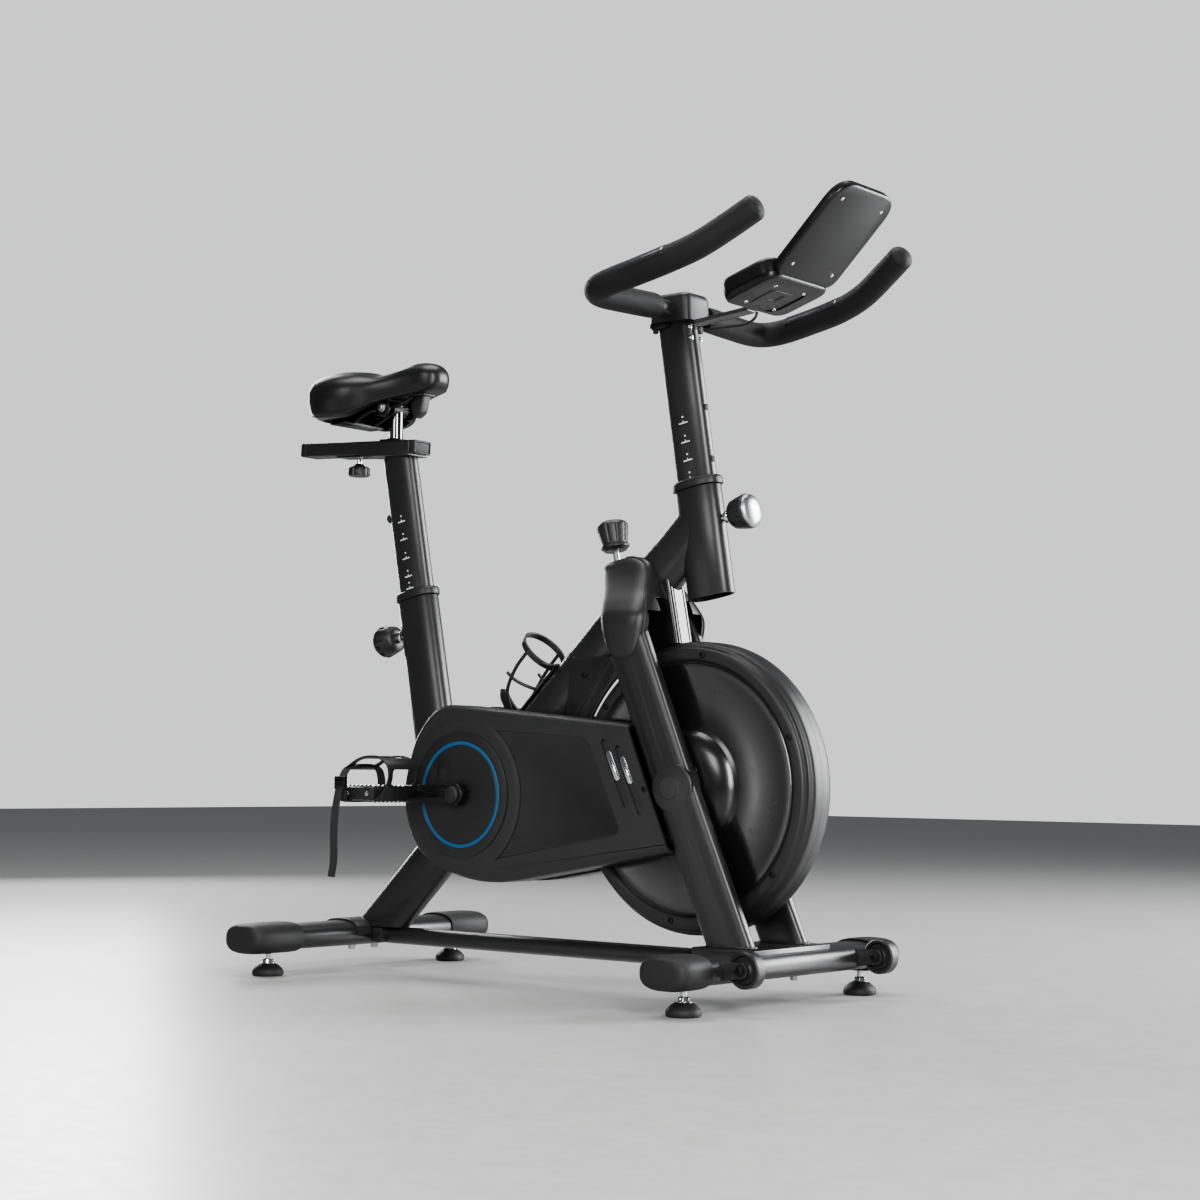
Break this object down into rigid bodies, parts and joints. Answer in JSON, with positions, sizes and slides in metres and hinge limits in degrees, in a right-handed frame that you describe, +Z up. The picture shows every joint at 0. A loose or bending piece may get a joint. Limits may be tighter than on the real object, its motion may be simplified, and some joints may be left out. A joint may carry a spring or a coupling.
{
  "type": "indoor exercise bike",
  "caption": "Belt-driven indoor cycle with an enclosed flywheel, sliding saddle and handlebar posts, pedals with toe cages, and a console with a tablet holder.",
  "frame": {"origin": "centre of the footprint on the floor, on the bike's centre plane", "axes": "+X towards the handlebar, +Y to the rider's left, +Z up"},
  "size_m": [1.16, 0.544, 1.1648],
  "materials": {
    "frame_paint": "satin black powder coat",
    "shell_plastic": "satin black moulding",
    "gloss_plastic": "glossy black moulding",
    "rubber": "matte black rubber",
    "foam": "matte black foam",
    "chrome": "polished chrome",
    "steel": "plain steel",
    "black_steel": "black-coated steel",
    "cast_iron": "turned cast iron",
    "vinyl": "satin black vinyl"
  },
  "bodies": {
    "frame": {"rear_stabilizer": "frame_paint", "front_stabilizer": "frame_paint", "base_rail": "frame_paint", "main_tube": "frame_paint", "seat_tube": "frame_paint", "head_tube": "frame_paint", "fork_leg_right": "frame_paint", "fork_leg_left": "frame_paint", "belt_guard_right": "shell_plastic", "belt_guard_left": "shell_plastic", "crank_cover": "shell_plastic", "neck_shroud": "shell_plastic", "seat_tube_bush": "shell_plastic", "head_tube_bush": "shell_plastic", "bottle_cage": "shell_plastic", "flywheel_guard_right": "gloss_plastic", "flywheel_guard_left": "gloss_plastic", "brake_fairing": "gloss_plastic", "rear_cap_right": "rubber", "rear_cap_left": "rubber", "front_cap_right": "rubber", "front_cap_left": "rubber", "drive_belt": "rubber", "flywheel_axle": "steel", "bottom_bracket_cartridge": "steel"},
    "crankset": {"crank_axle": "steel", "crank_arm_right": "black_steel", "crank_arm_left": "black_steel", "crank_pulley": "steel"},
    "pedal_r": {"pedal_right": "shell_plastic", "toe_cage_right": "shell_plastic"},
    "pedal_l": {"pedal_left": "shell_plastic", "toe_cage_left": "shell_plastic"},
    "flywheel_unit": {"flywheel": "cast_iron"},
    "seat_post_unit": {"seat_post": "frame_paint"},
    "seat_slider": {"seat_rail": "shell_plastic", "saddle_stem": "chrome"},
    "saddle": {"saddle_base": "shell_plastic", "saddle_cushion": "vinyl"},
    "rail_knob": {"seat_rail_knob": "shell_plastic"},
    "seat_pull_knob": {"seat_post_knob": "shell_plastic"},
    "bar_post_unit": {"handlebar_post": "frame_paint", "handlebar_tube": "frame_paint", "grip_right": "foam", "grip_left": "foam", "bar_clamp_cover": "shell_plastic", "console": "gloss_plastic", "tablet_holder": "shell_plastic", "console_lead": "rubber"},
    "bar_pull_knob": {"bar_post_knob": "shell_plastic"},
    "console_key": {"console_button": "rubber"},
    "brake_plunger": {"brake_rod": "steel", "brake_shoe": "rubber"},
    "brake_knob": {"resistance_knob": "shell_plastic"},
    "wheel_r": {"transport_wheel_right": "rubber"},
    "wheel_l": {"transport_wheel_left": "rubber"},
    "rear_foot_right_unit": {"rear_foot_right": "rubber"},
    "rear_foot_left_unit": {"rear_foot_left": "rubber"},
    "front_foot_right_unit": {"front_foot_right": "rubber"},
    "front_foot_left_unit": {"front_foot_left": "rubber"}
  },
  "joints": [
    {"name": "flywheel_spin", "type": "hinge", "parent": "frame", "child": "flywheel_unit", "pos_m": [0.2817, 0, 0.308], "axis": [0, 1, 0], "continuous": true},
    {"name": "crank_spin", "type": "hinge", "parent": "frame", "child": "crankset", "pos_m": [-0.1253, 0, 0.292], "axis": [0, 1, 0], "continuous": true},
    {"name": "pedal_right_turn", "type": "hinge", "parent": "crankset", "child": "pedal_r", "pos_m": [-0.2523, -0.149, 0.292], "axis": [0, 1, 0], "continuous": true},
    {"name": "pedal_left_turn", "type": "hinge", "parent": "crankset", "child": "pedal_l", "pos_m": [0.0017, 0.149, 0.292], "axis": [0, 1, 0], "continuous": true},
    {"name": "seat_height", "type": "slide", "parent": "frame", "child": "seat_post_unit", "axis": [-0.193, 0, 0.9812], "range_m": [-0.12, 0.08]},
    {"name": "seat_fore_aft", "type": "slide", "parent": "seat_post_unit", "child": "seat_slider", "axis": [0.9983, 0, -0.0575], "range_m": [-0.04, 0.04]},
    {"name": "saddle_tilt", "type": "hinge", "parent": "seat_slider", "child": "saddle", "pos_m": [-0.3673, 0, 0.934], "axis": [0, 1, 0], "range_deg": [-8, 8]},
    {"name": "rail_knob_turn", "type": "hinge", "parent": "seat_post_unit", "child": "rail_knob", "pos_m": [-0.4533, 0, 0.85], "axis": [0, 0, 1], "range_deg": [0, 540]},
    {"name": "seat_pull_knob_pull", "type": "slide", "parent": "frame", "child": "seat_pull_knob", "axis": [-0.9812, 0, -0.193], "range_m": [0, 0.01], "stiffness_N_per_m": 2500, "springref_m": -0.004},
    {"name": "handlebar_height", "type": "slide", "parent": "frame", "child": "bar_post_unit", "axis": [-0.1629, 0, 0.9866], "range_m": [-0.1, 0.05]},
    {"name": "bar_pull_knob_pull", "type": "slide", "parent": "frame", "child": "bar_pull_knob", "axis": [0.9866, 0, 0.1629], "range_m": [0, 0.01], "stiffness_N_per_m": 2500, "springref_m": -0.004},
    {"name": "console_key_press", "type": "slide", "parent": "bar_post_unit", "child": "console_key", "axis": [0.2921, 0, -0.9564], "range_m": [0, 0.002], "stiffness_N_per_m": 600, "springref_m": -0.001},
    {"name": "brake_push", "type": "slide", "parent": "frame", "child": "brake_plunger", "axis": [0.19, 0, -0.9818], "range_m": [0, 0.003], "stiffness_N_per_m": 6000, "springref_m": -0.003},
    {"name": "resistance_turn", "type": "hinge", "parent": "brake_plunger", "child": "brake_knob", "pos_m": [0.1047, 0, 0.714], "axis": [-0.19, 0, 0.9818], "range_deg": [-540, 540]},
    {"name": "transport_wheel_right_spin", "type": "hinge", "parent": "frame", "child": "wheel_r", "pos_m": [0.4882, -0.1675, 0.0636], "axis": [0, 1, 0], "continuous": true},
    {"name": "transport_wheel_left_spin", "type": "hinge", "parent": "frame", "child": "wheel_l", "pos_m": [0.4882, 0.1675, 0.0636], "axis": [0, 1, 0], "continuous": true},
    {"name": "rear_foot_right_level", "type": "slide", "parent": "frame", "child": "rear_foot_right_unit", "axis": [0, 0, 1], "range_m": [-0.008, 0]},
    {"name": "rear_foot_left_level", "type": "slide", "parent": "frame", "child": "rear_foot_left_unit", "axis": [0, 0, 1], "range_m": [-0.008, 0]},
    {"name": "front_foot_right_level", "type": "slide", "parent": "frame", "child": "front_foot_right_unit", "axis": [0, 0, 1], "range_m": [-0.008, 0]},
    {"name": "front_foot_left_level", "type": "slide", "parent": "frame", "child": "front_foot_left_unit", "axis": [0, 0, 1], "range_m": [-0.008, 0]}
  ],
  "couplings": [
    {"joint": "crank_spin", "follows": "flywheel_spin", "ratio": 0.29787}
  ]
}
